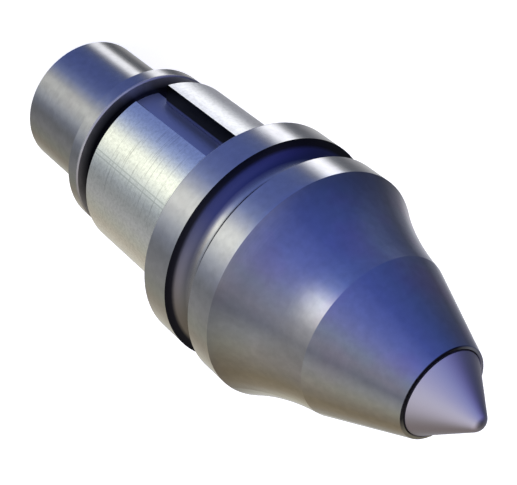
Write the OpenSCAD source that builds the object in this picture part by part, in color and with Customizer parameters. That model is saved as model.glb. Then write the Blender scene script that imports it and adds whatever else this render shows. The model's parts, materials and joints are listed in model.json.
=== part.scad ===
// Road milling pick: a round-shank rotary cutting tool with a split clamping sleeve.
// Millimetres. +Z runs along the tool's axis, from the flat rear end at Z = 0 to the carbide tip.
// Every piece is a body of revolution about Z, and only the sleeve's slot breaks the symmetry.

/* [Shank] */
// Diameter of the cylindrical shank
shank_d = 23; // [20:0.5:25]
// Length of the bare tail, from the rear end to the retaining ring
tail_length = 18.2; // [8:0.2:30]
// Bevel round the rear end face
tail_bevel = 0.8; // [0.2:0.1:2]
// Diameter of the retaining ring that keeps the sleeve on the shank
ring_d = 28.7; // [27:0.1:29.5]
// Width of the retaining ring along the axis
ring_width = 2.8; // [1.6:0.1:5]
// Bare stretch of shank between the retaining ring and the sleeve
sleeve_play = 3.6; // [1:0.1:6]

/* [Clamping sleeve] */
// Length of the sleeve
sleeve_length = 23; // [14:0.5:34]
// Wall of the sleeve
sleeve_wall = 3.45; // [2.5:0.05:4]
// Radial running clearance between the shank and the sleeve's bore
sleeve_clearance = 0.05; // [0.02:0.01:0.1]
// Axial running clearance between the sleeve and the collar
collar_clearance = 0.1; // [0.05:0.05:0.4]
// Width of the slot between the sleeve's two edges, as the angle it takes out of the circle
slot_angle = 23.5; // [8:0.5:40]
// Direction of the middle of the slot, round the axis from +X
slot_azimuth = -121; // [-180:1:180]
// Bevel on the sleeve's outer end edges
sleeve_bevel = 0.35; // [0.1:0.05:1]

/* [Collar, puller groove and band] */
// Diameter of the collar that rests on the tool holder, and of the band in front of the groove
collar_d = 38; // [35:0.5:46]
// Width of the collar along the axis
collar_width = 5.5; // [3:0.1:9]
// Radius of the half-round puller groove, which is also its depth below the collar and the band
groove_radius = 2.95; // [2:0.05:4]
// Width of the band along the axis
band_width = 4.7; // [3:0.1:8]
// Break on the turned edges of the retaining ring and the collar
edge_break = 0.2; // [0.1:0.05:0.5]

/* [Head] */
// Length of the concave shoulder
shoulder_length = 14.1; // [12:0.1:18]
// Radius of the shoulder's concave curve
shoulder_radius = 40; // [30:1:80]
// Diameter where the shoulder meets the nose cone
neck_d = 26.6; // [24:0.1:29]
// Length of the nose cone, up to the rim round the tip
cone_length = 13.8; // [10:0.1:18]
// Diameter of the rim at the front of the nose cone
rim_d = 15.3; // [15.2:0.1:18]
// Radius of the rim's outer edge
rim_round = 0.2; // [0.1:0.05:0.25]

/* [Carbide tip] */
// Diameter of the carbide tip's base
tip_d = 13.6; // [12:0.1:13.8]
// Height of the tip above the rim
tip_height = 7.7; // [6:0.1:11]
// Radius of the tip's rounded point
tip_nose_radius = 1.9; // [0.8:0.1:2.4]
// Cylindrical land between the rim and the tip's cone
tip_land = 0.1; // [0.05:0.05:0.6]
// Depth of the tip's cylindrical root below the rim
tip_root = 4.8; // [3:0.1:8]
// Bevel round the underside of the tip's root
tip_root_bevel = 0.5; // [0.2:0.1:1]

/* [Braze] */
// Thickness of the braze round the tip's root
braze_gap = 0.15; // [0.1:0.05:0.2]
// Thickness of the braze under the tip
braze_floor = 0.25; // [0.15:0.05:0.5]
// How far the braze stays below the rim
braze_recess = 0.3; // [0.1:0.05:0.45]
// Bevel at the socket's mouth, which widens the fine groove round the tip
mouth_bevel = 0.1; // [0.05:0.05:0.2]

/* [Hidden] */
$fn = 180;

// Radii
shank_r = shank_d / 2;
sleeve_bore_r = shank_r + sleeve_clearance;
sleeve_r = sleeve_bore_r + sleeve_wall;
ring_r = ring_d / 2;
collar_r = collar_d / 2;
neck_r = neck_d / 2;
rim_r = rim_d / 2;
tip_r = tip_d / 2;
socket_r = tip_r + braze_gap;

// Stations along the axis
ring_z = tail_length;
sleeve_z = ring_z + ring_width + sleeve_play;
collar_z = sleeve_z + sleeve_length + collar_clearance;
groove_z = collar_z + collar_width + groove_radius;
band_z = groove_z + groove_radius;
shoulder_z = band_z + band_width;
neck_z = shoulder_z + shoulder_length;
rim_z = neck_z + cone_length;
tip_base_z = rim_z + tip_land;
tip_root_z = rim_z - tip_root;
socket_floor_z = tip_root_z - braze_floor;
braze_top_z = rim_z - braze_recess;

// Centre of the shoulder's concave curve, which runs from the band's front edge to the neck
shoulder_start = [collar_r, shoulder_z];
shoulder_end = [neck_r, neck_z];
shoulder_chord = shoulder_end - shoulder_start;
shoulder_outward = [shoulder_chord.y, -shoulder_chord.x] / norm(shoulder_chord);
shoulder_centre = (shoulder_start + shoulder_end) / 2
    + sqrt(pow(shoulder_radius, 2) - pow(norm(shoulder_chord) / 2, 2)) * shoulder_outward;

// Centre of the tip's rounded point, and the slope at which the tip's cone runs into it
nose_centre_z = rim_z + tip_height - tip_nose_radius;
nose_reach = nose_centre_z - tip_base_z;
tip_half_angle = atan(tip_r / nose_reach) - asin(tip_nose_radius / norm([nose_reach, tip_r]));

// Outline of a disc from z0 to z1, with bevels b0 and b1 on its two rims
module disc_outline(z0, z1, r, b0 = 0, b1 = 0) {
    polygon([[0, z0], [r - b0, z0], [r, z0 + b0], [r, z1 - b1], [r - b1, z1], [0, z1]]);
}

// Retaining ring on the bare shank
module shank_outline() {
    disc_outline(0, collar_z, shank_r, tail_bevel, 0);
    disc_outline(ring_z, ring_z + ring_width, ring_r, edge_break, edge_break);
}

// Collar and band, with the half-round puller groove between them
module collar_outline() {
    difference() {
        disc_outline(collar_z, shoulder_z, collar_r, edge_break, 0);
        translate([collar_r, groove_z]) circle(groove_radius);
    }
}

// Concave shoulder, then the straight nose cone with its rounded rim
module head_outline() {
    slope = atan2(neck_r - rim_r, cone_length);
    round_centre = [rim_r - rim_round * tan(45 + slope / 2), rim_z - rim_round];
    difference() {
        polygon([[0, shoulder_z], shoulder_start, shoulder_end, [0, neck_z]]);
        translate(shoulder_centre) circle(shoulder_radius, $fn = 720);
    }
    polygon([
        [0, neck_z], shoulder_end, round_centre + rim_round * [cos(slope), sin(slope)],
        round_centre, [round_centre.x, rim_z], [0, rim_z]
    ]);
    translate(round_centre) circle(rim_round);
}

// Stepped socket for the tip, with its bevelled mouth
module socket_outline() {
    polygon([
        [0, socket_floor_z], [socket_r, socket_floor_z], [socket_r, rim_z - mouth_bevel],
        [socket_r + 2 * mouth_bevel, rim_z + mouth_bevel], [0, rim_z + mouth_bevel]
    ]);
}

// Outline of the tip's root, below its cone
module tip_root_outline() {
    disc_outline(tip_root_z, tip_base_z, tip_r, tip_root_bevel, 0);
}

// One-piece turned steel body
module pick_body() {
    color("slategray") rotate_extrude() difference() {
        union() {
            shank_outline();
            collar_outline();
            head_outline();
        }
        socket_outline();
    }
}

// Braze that fills the socket round and under the tip's root
module braze_layer() {
    color("peru") rotate_extrude() difference() {
        intersection() {
            socket_outline();
            disc_outline(socket_floor_z, braze_top_z, rim_r);
        }
        tip_root_outline();
    }
}

// Tungsten carbide tip: root, cone and rounded point
module carbide_tip() {
    nose_edge = tip_nose_radius * [cos(tip_half_angle), sin(tip_half_angle)];
    color("lightsteelblue") rotate_extrude() {
        tip_root_outline();
        polygon([
            [0, tip_base_z], [tip_r, tip_base_z], [nose_edge.x, nose_centre_z + nose_edge.y],
            [0, nose_centre_z + nose_edge.y]
        ]);
        intersection() {
            translate([0, nose_centre_z]) circle(tip_nose_radius);
            translate([0, nose_centre_z]) square(tip_nose_radius);
        }
    }
}

// Spring steel sleeve, rolled round the shank with a slot along its whole length
module clamping_sleeve() {
    color("gainsboro") rotate([0, 0, slot_azimuth + slot_angle / 2])
        rotate_extrude(angle = 360 - slot_angle) difference() {
            translate([0, sleeve_z]) disc_outline(0, sleeve_length, sleeve_r, sleeve_bevel, sleeve_bevel);
            translate([0, sleeve_z]) square([sleeve_bore_r, sleeve_length]);
        }
}

pick_body();
braze_layer();
carbide_tip();
clamping_sleeve();
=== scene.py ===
"""Looks of a road milling pick: turned steel body, brazed carbide tip and split clamping sleeve.

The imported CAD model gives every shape. This file adds the finishes, the light and the camera.
Metres and radians, in the model's own frame: the axis is Z and the tip points to +Z. A side of
the pick is given by its azimuth, the angle round the axis from +X towards +Y.
"""

import json
from collections import namedtuple
from math import cos, pi, radians, sin

import bpy
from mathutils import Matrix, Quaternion, Vector


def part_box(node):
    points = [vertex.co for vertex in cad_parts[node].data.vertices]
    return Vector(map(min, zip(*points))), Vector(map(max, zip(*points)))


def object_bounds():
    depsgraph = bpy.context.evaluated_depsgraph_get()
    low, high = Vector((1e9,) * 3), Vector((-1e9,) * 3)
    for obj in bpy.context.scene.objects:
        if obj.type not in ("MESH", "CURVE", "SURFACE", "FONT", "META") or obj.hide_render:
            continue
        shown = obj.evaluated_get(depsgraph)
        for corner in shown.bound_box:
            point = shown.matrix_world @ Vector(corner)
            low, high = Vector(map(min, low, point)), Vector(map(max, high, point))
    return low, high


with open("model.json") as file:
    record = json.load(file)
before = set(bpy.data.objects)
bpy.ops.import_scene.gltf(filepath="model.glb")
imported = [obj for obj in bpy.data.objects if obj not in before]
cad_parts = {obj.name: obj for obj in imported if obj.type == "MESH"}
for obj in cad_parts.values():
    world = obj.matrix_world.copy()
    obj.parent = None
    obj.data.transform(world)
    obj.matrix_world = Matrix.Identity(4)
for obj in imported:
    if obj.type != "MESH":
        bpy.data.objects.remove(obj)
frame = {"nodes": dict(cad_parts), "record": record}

bl_info = {
    "name": "Road milling pick",
    "version": (1, 0, 0),
    "blender": (4, 5, 0),
    "location": "View3D > Sidebar > Milling pick",
    "description": "Finishes, light and camera for a round-shank road milling pick",
    "category": "Object",
}

MODEL_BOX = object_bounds()
MM = 0.001

# Heights on the pick, from its rear end up.
RING_FRONT = 21.0 * MM                 # front face of the retaining ring
SLEEVE_REAR, SLEEVE_FRONT = [corner[2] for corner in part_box("clamping_sleeve")]
GROOVE = next(mount for mount in frame["record"]["mounts"] if mount["name"] == "puller_groove")
GROOVE_HEIGHT = GROOVE["pos_m"][2]     # middle of the groove, which is half round
GROOVE_RADIUS = MODEL_BOX[1][0] - GROOVE["dims"]["r_mm"] * MM
SHOULDER_FOOT = 63.8 * MM              # where the band ends and the concave shoulder starts
RIM_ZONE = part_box("braze_layer")[1][2] - 1.4 * MM  # from here up, only the rim looks upwards

# Radii, each pair from and to.
SHANK_LIMIT = 12.0 * MM                # just outside the shank
RING_SHADE = (14.1 * MM, 12.2 * MM)    # the ring's front face is painted black towards the shank, as painted shade
LAND_EDGE = (12.25 * MM, 12.0 * MM)    # upper edge of the blue land in the sleeve's slot

# Sides of the pick, as azimuths.
STRAW_SIDE = radians(20)               # straw tint: partly oxide film, partly painted warm reflection
DARK_RIM_SIDE = radians(-88)               # rim painted black on this side, as painted dark reflection
SLOT_LIGHT_SIDE = radians(-127)            # painted shadow left off the shank here, as painted light through the slot
SLOT_LIGHT_HALF = radians(10.5)            # half the width of that patch
MARKED_SIDE = radians(-86)             # sleeve shows its turning marks; elsewhere it is painted brighter, as painted highlight
WORN_SIDE = radians(-155)              # sleeve is worn matt
REFLECTED_LINES_SIDE = radians(-71)              # two painted reflection lines run along the sleeve


def linear(hex_colour):
    """Linear RGBA of an sRGB hex colour."""
    channels = [int(hex_colour[i:i + 2], 16) / 255 for i in (0, 2, 4)]
    return [c / 12.92 if c <= 0.04045 else ((c + 0.055) / 1.055) ** 2.4 for c in channels] + [1.0]


def add(tree, kind, inputs=None, stops=None, **settings):
    """Adds a node. settings are its own properties, and inputs are values or sockets, by input.

    stops are the (position, colour) pairs of a node that has a colour ramp.
    """
    node = tree.nodes.new(kind)
    for name, value in settings.items():
        setattr(node, name, value)
    for key, value in (inputs or {}).items():
        if isinstance(value, bpy.types.NodeSocket):
            tree.links.new(value, node.inputs[key])
        else:
            node.inputs[key].default_value = value
    if stops:
        ramp = node.color_ramp.elements
        while len(ramp) < len(stops):
            ramp.new(1.0)
        for element, (position, colour) in zip(ramp, stops):
            element.position, element.color = position, colour
    return node


def colour_property(name, description, hex_colour):
    """A colour that the panel shows, with its default as an sRGB hex value."""
    return bpy.props.FloatVectorProperty(
        name=name, description=description, subtype="COLOR", size=4, min=0, max=1,
        default=linear(hex_colour))


def roughness_property(name, description, default):
    """A roughness that the panel shows."""
    return bpy.props.FloatProperty(
        name=name, description=description, default=default, min=0, max=1, subtype="FACTOR")


def pitch_property(default):
    """A distance between drawn turning marks that the panel shows."""
    return bpy.props.FloatProperty(
        name="Mark pitch", description="Distance between two drawn turning marks",
        default=default, min=0.05 * MM, max=2 * MM, subtype="DISTANCE", unit="LENGTH")


# The room that the polished steel mirrors. Each ring goes once round the pick, as pairs of the
# direction in degrees, from -Y towards +X, and the colour that stands there.
# White stands for ROOM_BRIGHTNESS, which is as bright as the strip light.
ROOM_BRIGHTNESS = 2.2
LOW_RING = [  # from below, which the straight walls mirror
    (-180, "949494"), (-166, "929292"), (-152, "868686"), (-140, "6f6f71"),  # pale table
    (-130, "57585b"), (-121, "5c5e62"), (-114, "8e8e8e"),                    # gap
    (-107, "f8f8f8"), (-101, "ffffff"), (-95, "f6f6f6"), (-89, "acaeb4"),    # strip light
    (-83, "6c7080"), (-76, "525c7e"), (-62, "4a5684"), (-44, "4c5889"), (-28, "586492"),
    (-15, "727da1"), (-4, "a3a8b5"),                                         # blue wall
    (6, "d2d3cc"), (16, "dcddd4"), (27, "c1c3bf"), (38, "9ea2a6"),           # softbox
    (52, "757982"), (66, "66686b"), (86, "757575"), (108, "78786f"),         # grey flag
    (124, "7e786c"), (138, "8b867b"), (152, "939085"), (168, "929290"),      # warm wall
    (180, "949494"),
]
SLOPE_RING = [  # from just under the horizon, which the shoulder's end mirrors
    (-180, "8f8f8f"), (-150, "5e5e60"), (-130, "3e4048"), (-110, "3f4457"),  # dark corner
    (-89, "4a536a"), (-68, "474f73"), (-46, "47537e"), (-25, "596691"),      # blue wall
    (-12, "7f88a8"), (-2, "b9bac3"), (6, "e9e8dc"), (16, "ebe8da"),          # softbox
    (27, "c8c4b8"), (40, "95938f"),
    (60, "717172"), (76, "737271"), (96, "767371"), (110, "6e6a64"),         # grey flag
    (124, "6b6458"), (138, "726b60"), (160, "7e7e7c"), (180, "8f8f8f"),      # warm wall
]
SIDE_RING = [  # level with the pick, which the nose cone and the shoulder mirror
    (-180, "676767"), (-145, "484a50"), (-125, "363a4a"), (-111, "363a4c"),  # dark corner
    (-78, "39456a"), (-44, "424d7e"), (-10, "5c6491"), (10, "6a6e92"),       # blue wall
    (30, "727885"), (46, "73737a"), (60, "64666e"), (78, "7c7e7f"),          # grey flag
    (95, "7d7d76"), (111, "726d63"), (127, "6c6259"), (145, "6e675e"),       # warm wall
    (180, "676767"),
]
HIGH_RING = [  # from above, which the carbide tip and the front faces mirror
    (-180, "615e55"), (-150, "4a4b50"),                                      # far wall
    (-118, "3c3c65"), (-94, "6d67a2"), (-50, "8b92b7"), (0, "a4a4bb"),       # pale wall
    (50, "c4c3c6"), (94, "beb6b7"), (118, "8d827a"), (150, "686560"), (180, "615e55"),
]
# Height in degrees at which each ring gives way to the next, from and to.
RING_EDGES = [(-31, -21), (-12, 1), (16, 36)]
# Height in degrees over which the light from below grows, and its share at the start. The
# softbox has a smaller share there, round its own direction and out to the angles of its fade.
LOW_EDGE = (-50, -41)
LOW_SHARE = 0.72
SOFTBOX_SHARE = 0.5
SOFTBOX_DIRECTION = radians(12)
SOFTBOX_FADE = (26, 11)
# The dark ceiling is a disc in the sky that leans from straight above towards +Y.
CEILING_SHARE = 0.3
CEILING_LEAN = radians(16)
CEILING_EDGE = (radians(26), radians(35))
# What the floor adds to the light that falls on it, so that only the pick's shadow is grey.
FLOOR_GLOW = 0.75


# ---------------------------------------------------------------------------------------------
# Settings


class BodySettings(bpy.types.PropertyGroup):
    steel: colour_property("Steel", "Turned alloy steel away from the heat of brazing", "b4b4b7")
    temper_blue: colour_property(
        "Temper blue", "Oxide film on the head, where it was hottest", "a6adc8")
    temper_violet: colour_property(
        "Temper violet", "Oxide film in patches on the blue side", "aca7c9")
    # The straw side is partly oxide film and partly painted warm reflection.
    straw_tint_and_reflection: colour_property(
        "Temper straw", "Oxide film on the side that cooled first", "bcb8ad")
    # The two groove colours are painted shade in the groove; the grey one is also painted warm
    # reflection.
    groove_shade_blue: colour_property(
        "Oxide, blue side", "Heat scale in the groove, on the side that went blue", "474d7a")
    groove_shade_grey: colour_property(
        "Oxide, straw side", "The same scale on the side that cooled first", "96948c")
    shank: colour_property("Shank", "Shank under the sleeve, tempered blue", "aeb4cc")
    # Painted shade and painted shadow in black, also used for the rim's painted dark reflection.
    scale: colour_property(
        "Scale", "Black scale in the corners, which no wheel has polished", "2c2d38")
    roughness: roughness_property("Roughness", "Roughness of the fine-turned surface", 0.14)
    oxide_roughness: roughness_property(
        "Oxide roughness", "Roughness of the heat scale and of the faces next to the sleeve", 0.42)
    shank_roughness: roughness_property(
        "Shank roughness", "Roughness of the shank under the sleeve", 0.55)
    mark_pitch: pitch_property(0.45 * MM)


class SleeveSettings(bpy.types.PropertyGroup):
    steel: colour_property("Steel", "Bright spring steel strip", "f3f6ee")
    # Painted highlight: the sleeve's sides are painted in this brighter steel.
    polished: colour_property("Polished steel", "Steel that has turned in the holder", "fdfeff")
    # Painted reflection: two lines along the sleeve.
    reflected_lines: colour_property("Drawn lines", "Two fine lines along the sleeve", "d2d6ce")
    # Painted shade: the slot's walls are painted black.
    slot_wall_shade: colour_property("Cut edges", "Black scale on the sheared edges", "1c1d20")
    land: colour_property("Land", "Sheared edge next to the shank, tempered blue", "626890")
    roughness: roughness_property("Roughness", "Roughness of the rolled and polished strip", 0.22)
    worn_roughness: roughness_property(
        "Worn roughness", "Roughness of the worn patch beyond the slot", 0.36)
    mark_pitch: pitch_property(0.2 * MM)


class TipSettings(bpy.types.PropertyGroup):
    carbide: colour_property("Carbide", "Sintered tungsten carbide", "b3b1bf")
    roughness: roughness_property("Roughness", "Roughness of the sintered surface", 0.4)
    braze: colour_property("Braze", "Copper braze, dark with flux and oxide", "595552")
    braze_roughness: roughness_property("Braze roughness", "Roughness of the braze's crust", 0.6)


class StudioSettings(bpy.types.PropertyGroup):
    background: colour_property("Background", "Pale floor and backdrop", "ffffff")
    lens: bpy.props.FloatProperty(
        name="Lens", description="Focal length on a 36 mm wide sensor", default=98.3, min=20,
        unit="CAMERA")
    camera_distance: bpy.props.FloatProperty(
        name="Camera distance", description="From the camera to the point that it aims at",
        default=0.2150, min=0.05, subtype="DISTANCE", unit="LENGTH")
    camera_elevation: bpy.props.FloatProperty(
        name="Camera elevation", description="Angle of the camera above the horizon",
        default=radians(39.29), subtype="ANGLE", unit="ROTATION")
    camera_roll: bpy.props.FloatProperty(
        name="Camera roll", description="Turn of the camera about its own view line",
        default=radians(129.3), subtype="ANGLE", unit="ROTATION")
    aim_height: bpy.props.FloatProperty(
        name="Aim height", description="Height of the point that the camera aims at",
        default=0.0505, subtype="DISTANCE", unit="LENGTH")
    floor_size: bpy.props.FloatProperty(
        name="Floor size", description="Length of a side of the square floor",
        default=6.0, min=1, subtype="DISTANCE", unit="LENGTH")
    lamp_place: bpy.props.FloatVectorProperty(
        name="Lamp place", description="Middle of the overhead lamp",
        default=(0.55, -0.25, 0.85), subtype="TRANSLATION", unit="LENGTH")
    lamp_size: bpy.props.FloatProperty(
        name="Lamp size", description="Diameter of the overhead lamp",
        default=0.8, min=0.05, subtype="DISTANCE", unit="LENGTH")
    lamp_power: bpy.props.FloatProperty(
        name="Lamp power", description="Power of the overhead lamp",
        default=2.0, min=0, subtype="POWER", unit="POWER")


# ---------------------------------------------------------------------------------------------
# Shared parts of the finishes


def empty_material(name):
    """A new material without nodes, and its node tree."""
    material = bpy.data.materials.new(name)
    material.use_nodes = True
    material.node_tree.nodes.clear()
    return material, material.node_tree


def finish_piece(piece, material, surface):
    """Ends a material with a metal shader that has these inputs, and gives it to a CAD node."""
    tree = material.node_tree
    shader = add(tree, "ShaderNodeBsdfPrincipled", {"Metallic": 1.0, **surface})
    add(tree, "ShaderNodeOutputMaterial", {"Surface": shader.outputs[0]})
    for slot in frame["nodes"][piece].material_slots:
        slot.material = material


Lathe = namedtuple("Lathe", "place height radius azimuth up out path")


def lathe_coordinates(tree):
    """Where a point lies on the turned pick, as sockets.

    place, height, radius and azimuth are its place. up and out tell how far its face looks along
    the axis and away from it. path is the place with its height less the radius, the way of a
    turning tool, which runs on over walls, cones and faces alike.
    """
    coordinates = add(tree, "ShaderNodeTexCoord")
    place = coordinates.outputs["Object"]
    x, y, height = add(tree, "ShaderNodeSeparateXYZ", {0: place}).outputs
    flat = add(tree, "ShaderNodeCombineXYZ", {0: x, 1: y}).outputs[0]
    radius = add(tree, "ShaderNodeVectorMath", {0: flat}, operation="LENGTH").outputs["Value"]
    azimuth = add(tree, "ShaderNodeMath", {0: y, 1: x}, operation="ARCTAN2").outputs[0]
    outward = add(tree, "ShaderNodeVectorMath", {0: flat}, operation="NORMALIZE").outputs[0]
    normal = coordinates.outputs["Normal"]
    up = add(tree, "ShaderNodeSeparateXYZ", {0: normal}).outputs[2]
    out = add(tree, "ShaderNodeVectorMath", {0: normal, 1: outward},
              operation="DOT_PRODUCT").outputs["Value"]
    run = add(tree, "ShaderNodeMath", {0: height, 1: radius}, operation="SUBTRACT").outputs[0]
    path = add(tree, "ShaderNodeCombineXYZ", {0: x, 1: y, 2: run}).outputs[0]
    return Lathe(place, height, radius, azimuth, up, out, path)


def side_share(tree, azimuth, side, fade):
    """1 on one side of the pick and 0 away from it.

    fade gives the angles from the side's middle at which it has come down to 0 and up to 1, in
    degrees.
    """
    apart = add(tree, "ShaderNodeMath", {0: azimuth, 1: side}, operation="SUBTRACT").outputs[0]
    near = add(tree, "ShaderNodeMath", {0: apart}, operation="COSINE").outputs[0]
    return add(tree, "ShaderNodeMapRange",
               {"Value": near, "From Min": cos(radians(fade[0])),
                "From Max": cos(radians(fade[1]))}).outputs[0]


def turning_marks(tree, path, pitch, length):
    """Fine uneven rings left by a turning tool, about 0.5 high, which fade in and out in patches.

    pitch is the distance between two rings, and length is that of a patch. The rings themselves
    run on for eight times as long.
    """
    def streaks(run, step, detail):
        scaled = add(tree, "ShaderNodeVectorMath", {0: path, 1: (1 / run, 1 / run, 1 / step)},
                     operation="MULTIPLY").outputs[0]
        return add(tree, "ShaderNodeTexNoise",
                   {"Vector": scaled, "Scale": 1.0, "Detail": detail}).outputs["Fac"]

    rings = add(tree, "ShaderNodeMath", {0: streaks(8 * length, pitch, 1.0), 1: 0.5},
                operation="SUBTRACT").outputs[0]
    patches = add(tree, "ShaderNodeMapRange",
                  {"Value": streaks(length, 3 * pitch, 0.0),
                   "From Min": 0.3, "From Max": 0.6}).outputs[0]
    return add(tree, "ShaderNodeMath", {0: rings, 1: patches, 2: 0.5},
               operation="MULTIPLY_ADD").outputs[0]


def turned_gloss(tree, marks, relief):
    """Shader inputs for a gloss that rings round the axis draw out along it, with their relief."""
    bump = add(tree, "ShaderNodeBump", {"Height": marks, "Strength": relief, "Distance": 0.02 * MM})
    around = add(tree, "ShaderNodeTangent", direction_type="RADIAL", axis="Z")
    return {"Anisotropic": 0.6, "Anisotropic Rotation": 0.25,
            "Normal": bump.outputs[0], "Tangent": around.outputs[0]}


# ---------------------------------------------------------------------------------------------
# Operators


class PICK_OT_camera(bpy.types.Operator):
    """Sets up the camera, which looks down on the pick from its tip's side"""
    bl_idname = "pick.camera"
    bl_label = "Set up the camera"

    def execute(self, context):
        studio = context.scene.pick_studio
        aim = Vector((0, 0, studio.aim_height))
        away = Quaternion((1, 0, 0), -studio.camera_elevation) @ Vector((0, -1, 0))
        camera = bpy.data.objects.new("camera", bpy.data.cameras.new("camera"))
        camera.data.lens = studio.lens
        camera.data.clip_start = 0.01
        camera.location = aim + away * studio.camera_distance
        camera.rotation_mode = "QUATERNION"
        level = (-away).to_track_quat("-Z", "Y")
        camera.rotation_quaternion = level @ Quaternion((0, 0, 1), studio.camera_roll)
        context.scene.collection.objects.link(camera)
        context.scene.camera = camera
        return {"FINISHED"}


class PICK_OT_body(bpy.types.Operator):
    """Finishes the body as fine-turned steel, tempered blue by the heat of brazing"""
    bl_idname = "pick.body"
    bl_label = "Finish the body"

    def execute(self, context):
        settings = context.scene.pick_body
        # Fine-turned alloy steel: long soft mirror images, with rings round the axis. The feed
        # of a finishing cut is about 0.1 mm, and it is drawn four times as coarse to show.
        material, tree = empty_material("turned_alloy_steel")
        at = lathe_coordinates(tree)
        colour = self.tempered_steel(tree, at, settings)

        # The groove's lower wall is painted darker and rougher: painted shade in the groove, blue,
        # and grey towards the straw side as painted warm reflection.
        in_groove = add(tree, "ShaderNodeMath",
                        {0: at.height, 1: GROOVE_HEIGHT, 2: GROOVE_RADIUS},
                        operation="COMPARE").outputs[0]
        lower_wall = add(tree, "ShaderNodeMapRange",
                         {"Value": at.up, "From Min": 0.1, "From Max": 0.5}).outputs[0]
        dull = add(tree, "ShaderNodeMath", {0: lower_wall, 1: in_groove},
                   operation="MULTIPLY").outputs[0]
        grey = side_share(tree, at.azimuth, STRAW_SIDE, (107.5, 31.8))
        # Painted shade colour for the groove's lower wall, grey towards the straw side.
        oxide = add(tree, "ShaderNodeMix",
                    {"Factor": grey, "A": settings.groove_shade_blue, "B": settings.groove_shade_grey},
                    data_type="RGBA").outputs["Result"]
        colour = add(tree, "ShaderNodeMix", {"Factor": dull, "A": colour, "B": oxide},
                     data_type="RGBA").outputs["Result"]

        # The shank stays as the lathe left it where the sleeve covers it, and went blue there.
        covered = add(tree, "ShaderNodeMath",
                      {0: at.height, 1: (RING_FRONT + SLEEVE_FRONT) / 2,
                       2: (SLEEVE_FRONT - RING_FRONT) / 2 + 0.4 * MM},
                      operation="COMPARE").outputs[0]
        dull = add(tree, "ShaderNodeMath", {0: dull, 1: covered}, operation="MAXIMUM").outputs[0]
        shank = add(tree, "ShaderNodeMath", {0: at.radius, 1: SHANK_LIMIT},
                    operation="LESS_THAN").outputs[0]
        shank = add(tree, "ShaderNodeMath", {0: shank, 1: covered},
                    operation="MULTIPLY").outputs[0]
        colour = add(tree, "ShaderNodeMix", {"Factor": shank, "A": colour, "B": settings.shank},
                     data_type="RGBA").outputs["Result"]

        # Black painted shade, painted shadow and painted dark reflection.
        black = self.painted_shade_black(tree, at, in_groove)
        colour = add(tree, "ShaderNodeMix", {"Factor": black, "A": colour, "B": settings.scale},
                     data_type="RGBA").outputs["Result"]

        roughness = add(tree, "ShaderNodeMix",
                        {"Factor": dull, "A": settings.roughness,
                         "B": settings.oxide_roughness}).outputs["Result"]
        roughness = add(tree, "ShaderNodeMix",
                        {"Factor": shank, "A": roughness,
                         "B": settings.shank_roughness}).outputs["Result"]
        marks = turning_marks(tree, at.path, settings.mark_pitch, 9 * MM)
        finish_piece("pick_body", material, {"Base Color": colour, "Roughness": roughness,
                                             **turned_gloss(tree, marks, 0.2)})
        return {"FINISHED"}

    def tempered_steel(self, tree, at, settings):
        """Steel colour below the shoulder, and on the head the oxide film of the brazing heat,
        whose straw side is partly painted warm reflection.
        """
        heat = add(tree, "ShaderNodeMapRange",
                   {"Value": at.height, "From Min": SHOULDER_FOOT - 1.3 * MM,
                    "From Max": SHOULDER_FOOT + 1.7 * MM, "To Min": 0.1},
                   interpolation_type="SMOOTHSTEP").outputs[0]
        patches = add(tree, "ShaderNodeTexNoise",
                      {"Vector": at.place, "Scale": 1 / (18.18 * MM),
                       "Detail": 2.0}).outputs["Fac"]
        uneven = add(tree, "ShaderNodeMath", {0: patches, 1: 0.25, 2: -0.12},
                     operation="MULTIPLY_ADD").outputs[0]
        amount = add(tree, "ShaderNodeMath", {0: heat, 1: uneven}, operation="ADD",
                     use_clamp=True).outputs[0]

        # The head's film is blue with violet clouds. One side is straw instead, partly as the film
        # and partly as a painted warm reflection.
        clouds = add(tree, "ShaderNodeTexNoise",
                     {"Vector": at.place, "Scale": 1 / (7 * MM), "Detail": 3.0}).outputs["Fac"]
        clouds = add(tree, "ShaderNodeMapRange",
                     {"Value": clouds, "From Min": 0.5, "From Max": 0.68}).outputs[0]
        blues = add(tree, "ShaderNodeMix",
                    {"Factor": clouds, "A": settings.temper_blue, "B": settings.temper_violet},
                    data_type="RGBA").outputs["Result"]
        straw = side_share(tree, at.azimuth, STRAW_SIDE, (120, 41.4))
        film = add(tree, "ShaderNodeMix",
                   {"Factor": straw, "A": blues, "B": settings.straw_tint_and_reflection},
                   data_type="RGBA").outputs["Result"]
        colour = add(tree, "ShaderNodeMix", {"Factor": amount, "A": settings.steel, "B": film},
                     data_type="RGBA").outputs["Result"]

        # Tint and polish are a little uneven, in mottles of about a millimetre.
        mottles = add(tree, "ShaderNodeTexNoise",
                      {"Vector": at.place, "Scale": 1 / (1.2 * MM), "Detail": 3.0}).outputs["Fac"]
        mottles = add(tree, "ShaderNodeMapRange",
                      {"Value": mottles, "From Min": 0.25, "From Max": 0.75,
                       "To Min": 0.92, "To Max": 1.08}).outputs[0]
        colour = add(tree, "ShaderNodeMix", {"Factor": 1.0, "A": colour, "B": mottles},
                     data_type="RGBA", blend_type="MULTIPLY").outputs["Result"]

        # The blue is deepest at the foot of the shoulder.
        deep = add(tree, "ShaderNodeMapRange",
                   {"Value": at.height, "From Min": SHOULDER_FOOT + 0.2 * MM,
                    "From Max": SHOULDER_FOOT + 6.2 * MM, "To Min": 0.7}).outputs[0]
        on_head = add(tree, "ShaderNodeMath", {0: at.height, 1: SHOULDER_FOOT},
                      operation="GREATER_THAN").outputs[0]
        return add(tree, "ShaderNodeMix", {"Factor": on_head, "A": colour, "B": deep},
                   data_type="RGBA", blend_type="MULTIPLY").outputs["Result"]

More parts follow.
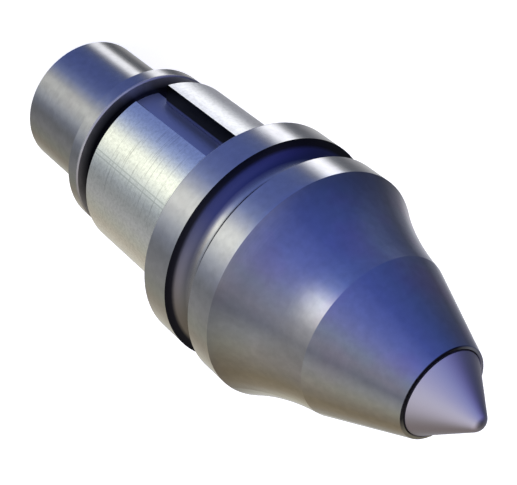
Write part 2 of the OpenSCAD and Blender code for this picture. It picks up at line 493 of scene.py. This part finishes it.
    def painted_shade_black(self, tree, at, in_groove):
        """Where the body is painted black: painted shade in the groove's corner, painted shadow
        between ring and sleeve, and painted dark reflection on the rim.
        """
        # In the corner of the puller groove, where its lower wall is nearly level: painted shade in
        # black.
        corner = add(tree, "ShaderNodeMapRange",
                     {"Value": at.up, "From Min": 0.86, "From Max": 0.94}).outputs[0]
        corner = add(tree, "ShaderNodeMath", {0: corner, 1: in_groove},
                     operation="MULTIPLY").outputs[0]

        # Painted shadow between ring and sleeve, on the shank and on the ring's face next to it.
        # Under the slot's window it is left off the shank, as painted light where the slot lets
        # light in.
        gap = add(tree, "ShaderNodeMath",
                  {0: at.height, 1: (RING_FRONT + SLEEVE_REAR) / 2,
                   2: (SLEEVE_REAR - RING_FRONT) / 2 + 0.01 * MM},
                  operation="COMPARE").outputs[0]
        inside = add(tree, "ShaderNodeMapRange",
                     {"Value": at.radius, "From Min": RING_SHADE[0],
                      "From Max": RING_SHADE[1]}).outputs[0]
        gap = add(tree, "ShaderNodeMath", {0: gap, 1: inside}, operation="MULTIPLY").outputs[0]
        behind = add(tree, "ShaderNodeMath", {0: at.azimuth, 1: SLOT_LIGHT_SIDE, 2: SLOT_LIGHT_HALF},
                     operation="COMPARE").outputs[0]
        wall = add(tree, "ShaderNodeMath", {0: at.up, 1: 0.5}, operation="LESS_THAN").outputs[0]
        slot_light = add(tree, "ShaderNodeMath", {0: behind, 1: wall},
                     operation="MULTIPLY").outputs[0]
        gap = add(tree, "ShaderNodeMath", {0: gap, 1: slot_light}, operation="SUBTRACT",
                  use_clamp=True).outputs[0]

        # On the rim round the tip, painted black on one side as painted dark reflection.
        rim = add(tree, "ShaderNodeMath", {0: at.height, 1: RIM_ZONE},
                  operation="GREATER_THAN").outputs[0]
        flat = add(tree, "ShaderNodeMapRange",
                   {"Value": at.up, "From Min": 0.42, "From Max": 0.52}).outputs[0]
        rim = add(tree, "ShaderNodeMath", {0: rim, 1: flat}, operation="MULTIPLY").outputs[0]
        dark_rim_share = side_share(tree, at.azimuth, DARK_RIM_SIDE, (78.5, 53.1))
        rim = add(tree, "ShaderNodeMath", {0: rim, 1: dark_rim_share}, operation="MULTIPLY").outputs[0]

        black = add(tree, "ShaderNodeMath", {0: corner, 1: gap}, operation="MAXIMUM").outputs[0]
        return add(tree, "ShaderNodeMath", {0: black, 1: rim}, operation="MAXIMUM").outputs[0]


class PICK_OT_sleeve(bpy.types.Operator):
    """Finishes the clamping sleeve as bright rolled spring steel"""
    bl_idname = "pick.sleeve"
    bl_label = "Finish the clamping sleeve"

    def execute(self, context):
        settings = context.scene.pick_sleeve
        # Polished spring steel strip: brighter than the body, with fine uneven rings. The marks
        # and the grain of such strip are a few hundredths of a millimetre, drawn coarser to show.
        material, tree = empty_material("polished_spring_steel")
        at = lathe_coordinates(tree)

        # Thin dark lines stand in the deepest marks, on one side only. Away from that side the
        # steel is painted brighter, as painted highlight.
        marks = turning_marks(tree, at.path, settings.mark_pitch, 4 * MM)
        lines = add(tree, "ShaderNodeMapRange",
                    {"Value": marks, "From Min": 0.34, "From Max": 0.42,
                     "To Min": 0.78}).outputs[0]
        marked = side_share(tree, at.azimuth, MARKED_SIDE, (38.7, 19.9))
        strip = add(tree, "ShaderNodeMix",
                    {"Factor": marked, "A": settings.polished, "B": settings.steel},
                    data_type="RGBA").outputs["Result"]
        strip = add(tree, "ShaderNodeMix", {"Factor": marked, "A": strip, "B": lines},
                    data_type="RGBA", blend_type="MULTIPLY").outputs["Result"]
        grain = add(tree, "ShaderNodeTexNoise",
                    {"Vector": at.place, "Scale": 1 / (0.5 * MM), "Detail": 2.0}).outputs["Fac"]
        grain = add(tree, "ShaderNodeMapRange",
                    {"Value": grain, "From Min": 0.3, "From Max": 0.6, "To Min": 0.84}).outputs[0]
        strip = add(tree, "ShaderNodeMix", {"Factor": 1.0, "A": strip, "B": grain},
                    data_type="RGBA", blend_type="MULTIPLY").outputs["Result"]

        # Two fine lines run along the sleeve: a painted reflection.
        aside = add(tree, "ShaderNodeMath", {0: at.azimuth, 1: REFLECTED_LINES_SIDE},
                    operation="SUBTRACT").outputs[0]
        aside = add(tree, "ShaderNodeMath", {0: aside, 1: at.radius},
                    operation="MULTIPLY").outputs[0]
        aside = add(tree, "ShaderNodeMath", {0: aside}, operation="ABSOLUTE").outputs[0]
        drawn = add(tree, "ShaderNodeMath", {0: aside, 1: 0.35 * MM, 2: 0.1 * MM},
                    operation="COMPARE").outputs[0]
        strip = add(tree, "ShaderNodeMix",
                    {"Factor": drawn, "A": strip, "B": settings.reflected_lines},
                    data_type="RGBA").outputs["Result"]

        # The sheared edges of the strip, along the slot, look neither out nor up. They are painted
        # black as painted shade in the slot, and blue on the narrow land next to the shank.
        land = add(tree, "ShaderNodeMapRange",
                   {"Value": at.radius, "From Min": LAND_EDGE[0],
                    "From Max": LAND_EDGE[1]}).outputs[0]
        sheared = add(tree, "ShaderNodeMix",
                      {"Factor": land, "A": settings.slot_wall_shade, "B": settings.land},
                      data_type="RGBA").outputs["Result"]
        across = add(tree, "ShaderNodeMath", {0: at.out}, operation="ABSOLUTE").outputs[0]
        endwise = add(tree, "ShaderNodeMath", {0: at.up}, operation="ABSOLUTE").outputs[0]
        turned = add(tree, "ShaderNodeMath", {0: across, 1: endwise},
                     operation="MAXIMUM").outputs[0]
        turned = add(tree, "ShaderNodeMapRange",
                     {"Value": turned, "From Min": 0.2, "From Max": 0.6}).outputs[0]
        colour = add(tree, "ShaderNodeMix", {"Factor": turned, "A": sheared, "B": strip},
                     data_type="RGBA").outputs["Result"]

        # Beyond the slot the strip is worn matt, which spreads its mirror images.
        worn = side_share(tree, at.azimuth, WORN_SIDE, (36.9, 18.2))
        roughness = add(tree, "ShaderNodeMix",
                        {"Factor": worn, "A": settings.roughness,
                         "B": settings.worn_roughness}).outputs["Result"]
        finish_piece("clamping_sleeve", material, {"Base Color": colour, "Roughness": roughness,
                                                   **turned_gloss(tree, marks, 0.4)})
        return {"FINISHED"}


class PICK_OT_tip(bpy.types.Operator):
    """Finishes the tip as sintered carbide, and the braze round its root"""
    bl_idname = "pick.tip"
    bl_label = "Finish the tip and the braze"

    def execute(self, context):
        settings = context.scene.pick_tip
        # Sintered tungsten carbide, as pressed: satin and lilac grey. Its grain is a few
        # thousandths of a millimetre, and it is drawn at half a millimetre to show.
        material, tree = empty_material("sintered_tungsten_carbide")
        place = add(tree, "ShaderNodeTexCoord").outputs["Object"]
        grain = add(tree, "ShaderNodeTexNoise",
                    {"Vector": place, "Scale": 1 / (0.5 * MM), "Detail": 3.0}).outputs["Fac"]
        relief = add(tree, "ShaderNodeBump",
                     {"Height": grain, "Strength": 0.12, "Distance": 0.02 * MM}).outputs[0]
        finish_piece("carbide_tip", material, {
            "Base Color": settings.carbide, "Roughness": settings.roughness, "Normal": relief})

        # Copper braze as it cools: dull and dark with flux and oxide, in lumps of nearly 1 mm.
        material, tree = empty_material("oxidised_copper_braze")
        place = add(tree, "ShaderNodeTexCoord").outputs["Object"]
        crust = add(tree, "ShaderNodeTexNoise",
                    {"Vector": place, "Scale": 1 / (0.8 * MM), "Detail": 4.0}).outputs["Fac"]
        relief = add(tree, "ShaderNodeBump",
                     {"Height": crust, "Strength": 0.5, "Distance": 0.05 * MM}).outputs[0]
        finish_piece("braze_layer", material, {
            "Base Color": settings.braze, "Roughness": settings.braze_roughness,
            "Normal": relief})
        return {"FINISHED"}


class PICK_OT_stage(bpy.types.Operator):
    """Lays the pale floor, and lights the pick with a soft lamp and a bright room"""
    bl_idname = "pick.stage"
    bl_label = "Set the stage and the light"

    def execute(self, context):
        studio = context.scene.pick_studio
        context.scene.view_settings.view_transform = "Standard"
        self.light_room(context.scene, studio)
        self.lay_floor(context.scene, studio)
        self.hang_lamp(context.scene, studio)
        return {"FINISHED"}

    def light_room(self, scene, studio):
        """The room: four rings of panels for the steel to mirror, and white for the camera."""
        world = bpy.data.worlds.new("studio_room")
        world.use_nodes = True
        tree = world.node_tree
        tree.nodes.clear()
        way = add(tree, "ShaderNodeTexCoord").outputs["Generated"]
        x, y, z = add(tree, "ShaderNodeSeparateXYZ", {0: way}).outputs
        front = add(tree, "ShaderNodeMath", {0: y, 1: -1.0}, operation="MULTIPLY").outputs[0]
        direction = add(tree, "ShaderNodeMath", {0: x, 1: front}, operation="ARCTAN2").outputs[0]
        turn = add(tree, "ShaderNodeMath", {0: direction, 1: 1 / (2 * pi), 2: 0.5},
                   operation="MULTIPLY_ADD").outputs[0]
        elevation = add(tree, "ShaderNodeMath", {0: z}, operation="ARCSINE").outputs[0]
        rings = [
            add(tree, "ShaderNodeValToRGB", {0: turn},
                stops=[(degrees / 360 + 0.5, linear(colour)) for degrees, colour in ring]
                ).outputs[0]
            for ring in (LOW_RING, SLOPE_RING, SIDE_RING, HIGH_RING)]
        room = rings[0]
        for ring, (start, end) in zip(rings[1:], RING_EDGES):
            height = add(tree, "ShaderNodeMapRange",
                         {"Value": elevation, "From Min": radians(start),
                          "From Max": radians(end)}, interpolation_type="SMOOTHSTEP").outputs[0]
            room = add(tree, "ShaderNodeMix", {"Factor": height, "A": room, "B": ring},
                       data_type="RGBA").outputs["Result"]
        share = self.light_share(tree, way, direction, elevation)
        room = add(tree, "ShaderNodeMix", {"Factor": 1.0, "A": room, "B": share},
                   data_type="RGBA", blend_type="MULTIPLY").outputs["Result"]
        mirrored = add(tree, "ShaderNodeBackground",
                       {"Color": room, "Strength": ROOM_BRIGHTNESS}).outputs[0]
        shown = add(tree, "ShaderNodeBackground", {"Color": studio.background}).outputs[0]
        seen = add(tree, "ShaderNodeLightPath").outputs["Is Camera Ray"]
        light = add(tree, "ShaderNodeMixShader", {0: seen, 1: mirrored, 2: shown}).outputs[0]
        add(tree, "ShaderNodeOutputWorld", {"Surface": light})
        scene.world = world

    def light_share(self, tree, way, direction, elevation):
        """How much of the rings' light comes from below and through the dark ceiling."""
        softbox = side_share(tree, direction, SOFTBOX_DIRECTION, SOFTBOX_FADE)
        least = add(tree, "ShaderNodeMix",
                    {"Factor": softbox, "A": LOW_SHARE, "B": SOFTBOX_SHARE}).outputs["Result"]
        rising = add(tree, "ShaderNodeMapRange",
                     {"Value": elevation, "From Min": radians(LOW_EDGE[0]),
                      "From Max": radians(LOW_EDGE[1]), "To Min": least}).outputs[0]
        ceiling = (0, sin(CEILING_LEAN), cos(CEILING_LEAN))
        from_ceiling = add(tree, "ShaderNodeVectorMath", {0: way, 1: ceiling},
                           operation="DOT_PRODUCT").outputs["Value"]
        below = add(tree, "ShaderNodeMapRange",
                    {"Value": from_ceiling, "From Min": cos(CEILING_EDGE[0]),
                     "From Max": cos(CEILING_EDGE[1]), "To Min": CEILING_SHARE},
                    interpolation_type="SMOOTHSTEP").outputs[0]
        return add(tree, "ShaderNodeMath", {0: rising, 1: below}, operation="MULTIPLY").outputs[0]

    def lay_floor(self, scene, studio):
        """The floor: white to the camera, with the pick's soft shadow on it."""
        material, tree = empty_material("pale_floor")
        seen = add(tree, "ShaderNodeLightPath").outputs["Is Camera Ray"]
        strength = add(tree, "ShaderNodeMath", {0: seen, 1: FLOOR_GLOW},
                       operation="MULTIPLY").outputs[0]
        glow = add(tree, "ShaderNodeEmission", {"Color": studio.background, "Strength": strength})
        matt = add(tree, "ShaderNodeBsdfDiffuse", {"Color": studio.background})
        both = add(tree, "ShaderNodeAddShader", {0: glow.outputs[0], 1: matt.outputs[0]})
        add(tree, "ShaderNodeOutputMaterial", {"Surface": both.outputs[0]})
        half = studio.floor_size / 2
        mesh = bpy.data.meshes.new("floor")
        mesh.from_pydata([(-half, -half, 0), (half, -half, 0), (half, half, 0), (-half, half, 0)],
                         [], [(0, 1, 2, 3)])
        mesh.materials.append(material)
        floor = bpy.data.objects.new("floor", mesh)
        floor.location.z = MODEL_BOX[0][2] - 0.05 * MM
        floor.visible_glossy = False
        scene.collection.objects.link(floor)

    def hang_lamp(self, scene, studio):
        """A large soft lamp overhead, which gives the shadow."""
        lamp = bpy.data.objects.new("overhead_lamp", bpy.data.lights.new("overhead_lamp", "AREA"))
        lamp.data.shape = "DISK"
        lamp.data.size = studio.lamp_size
        lamp.data.energy = studio.lamp_power
        lamp.visible_glossy = False
        lamp.location = studio.lamp_place
        lamp.rotation_mode = "QUATERNION"
        lamp.rotation_quaternion = (-lamp.location).to_track_quat("-Z", "Y")
        scene.collection.objects.link(lamp)


class PICK_PT_panel(bpy.types.Panel):
    """Lists the pick's finishes and its stage"""
    bl_idname = "PICK_PT_panel"
    bl_label = "Milling pick"
    bl_space_type = "VIEW_3D"
    bl_region_type = "UI"
    bl_category = "Milling pick"

    def draw(self, context):
        for operator, settings in STEPS:
            box = self.layout.box()
            box.operator(operator.bl_idname)
            group = getattr(context.scene, settings)
            for name in group.__annotations__:
                box.prop(group, name)


# Each operator, in the order that they run, with the settings that it uses.
STEPS = [
    (PICK_OT_camera, "pick_studio"),
    (PICK_OT_body, "pick_body"),
    (PICK_OT_sleeve, "pick_sleeve"),
    (PICK_OT_tip, "pick_tip"),
    (PICK_OT_stage, "pick_studio"),
]
GROUPS = {
    "pick_body": BodySettings,
    "pick_sleeve": SleeveSettings,
    "pick_tip": TipSettings,
    "pick_studio": StudioSettings,
}


def register():
    for group in GROUPS.values():
        bpy.utils.register_class(group)
    for name, group in GROUPS.items():
        setattr(bpy.types.Scene, name, bpy.props.PointerProperty(type=group))
    for operator, _ in STEPS:
        bpy.utils.register_class(operator)
    bpy.utils.register_class(PICK_PT_panel)


def unregister():
    bpy.utils.unregister_class(PICK_PT_panel)
    for operator, _ in reversed(STEPS):
        bpy.utils.unregister_class(operator)
    for name, group in GROUPS.items():
        delattr(bpy.types.Scene, name)
        bpy.utils.unregister_class(group)


def main():
    """Finishes the pick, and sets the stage."""
    register()
    for operator, _ in STEPS:
        group, name = operator.bl_idname.split(".")
        getattr(getattr(bpy.ops, group), name)()


if __name__ == "__main__":
    main()
